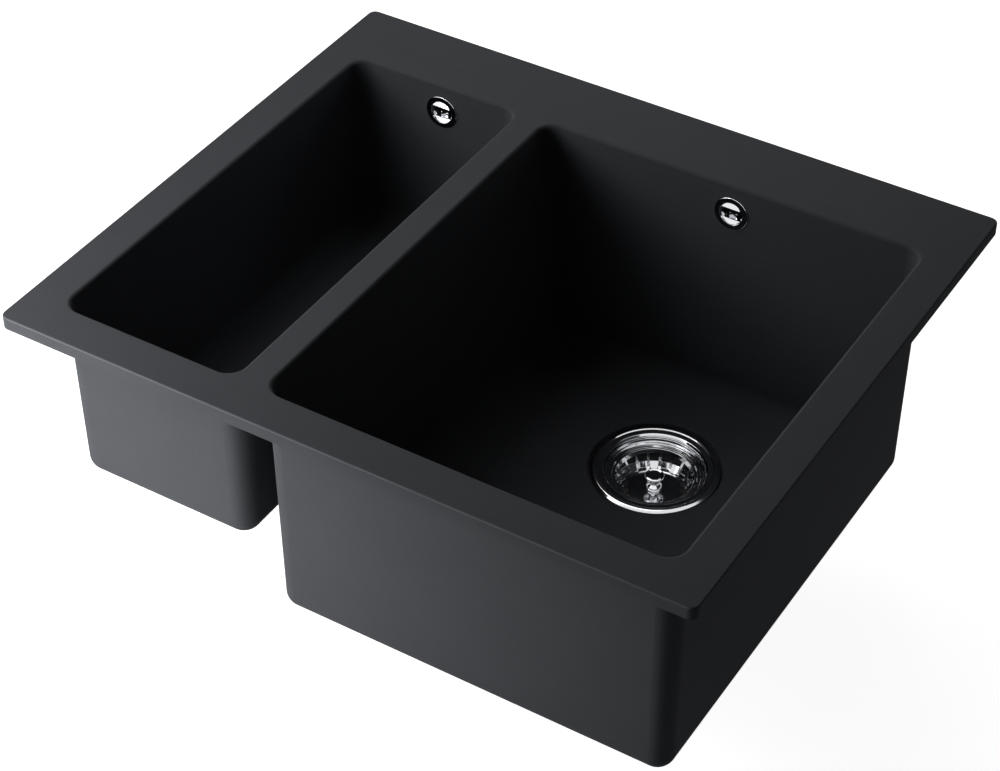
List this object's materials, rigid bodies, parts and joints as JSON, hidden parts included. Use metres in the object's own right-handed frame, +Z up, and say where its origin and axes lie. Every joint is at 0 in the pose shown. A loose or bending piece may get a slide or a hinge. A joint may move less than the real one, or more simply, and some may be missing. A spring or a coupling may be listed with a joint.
{
  "type": "double bowl kitchen sink",
  "caption": "Drop-in kitchen sink in dark composite with a narrow and a wide bowl, lift-out basket wastes, overflows and a plain rear deck.",
  "frame": {"origin": "middle of the rim's underside, which is the plane of the worktop's top", "axes": "+X to the right with the wide bowl on that side, +Y to the back where the deck is, +Z up"},
  "size_m": [0.6, 0.51, 0.2935],
  "materials": {
    "composite": "matt dark grey mineral composite with a very fine grain",
    "polished_steel": "mirror polished pressed stainless steel",
    "chrome": "polished chrome",
    "steel": "plain turned steel",
    "brass": "plain turned brass",
    "rubber": "black moulded rubber",
    "waste_plastic": "white moulded polypropylene",
    "pipe_plastic": "white extruded pipe, slightly glossy",
    "nut_plastic": "off-white moulded nut"
  },
  "bodies": {
    "sink": {"sink_body": "composite", "small_flange": "polished_steel", "small_flange_seal": "rubber", "small_centre_screw": "steel", "small_centre_nut": "brass", "small_body_seal": "rubber", "small_waste_body": "waste_plastic", "small_overflow_cover": "chrome", "small_overflow_screw": "chrome", "small_overflow_seal": "rubber", "small_overflow_elbow": "waste_plastic", "small_overflow_downpipe": "pipe_plastic", "small_overflow_bend": "waste_plastic", "small_overflow_crosspipe": "pipe_plastic", "small_overflow_washer": "rubber", "small_overflow_nut": "nut_plastic", "large_flange": "polished_steel", "large_flange_seal": "rubber", "large_centre_screw": "steel", "large_centre_nut": "brass", "large_body_seal": "rubber", "large_waste_body": "waste_plastic", "large_overflow_cover": "chrome", "large_overflow_screw": "chrome", "large_overflow_seal": "rubber", "large_overflow_elbow": "waste_plastic", "large_overflow_downpipe": "pipe_plastic", "large_overflow_bend": "waste_plastic", "large_overflow_crosspipe": "pipe_plastic", "large_overflow_washer": "rubber", "large_overflow_nut": "nut_plastic"},
    "small_stopper": {"small_stopper": "rubber"},
    "small_basket": {"small_basket": "polished_steel", "small_basket_post": "polished_steel", "small_basket_knob": "polished_steel", "small_stem_nut": "steel"},
    "large_stopper": {"large_stopper": "rubber"},
    "large_basket": {"large_basket": "polished_steel", "large_basket_post": "polished_steel", "large_basket_knob": "polished_steel", "large_stem_nut": "steel"}
  },
  "joints": [
    {"name": "small_basket_lift", "type": "slide", "parent": "sink", "child": "small_stopper", "axis": [0, 0, 1], "range_m": [0, 0.22]},
    {"name": "small_basket_turn", "type": "hinge", "parent": "small_stopper", "child": "small_basket", "pos_m": [-0.182, -0.0174, -0.172], "axis": [0, 0, 1], "continuous": true},
    {"name": "large_basket_lift", "type": "slide", "parent": "sink", "child": "large_stopper", "axis": [0, 0, 1], "range_m": [0, 0.28]},
    {"name": "large_basket_turn", "type": "hinge", "parent": "large_stopper", "child": "large_basket", "pos_m": [0.0982, 0.0706, -0.23], "axis": [0, 0, 1], "continuous": true}
  ]
}
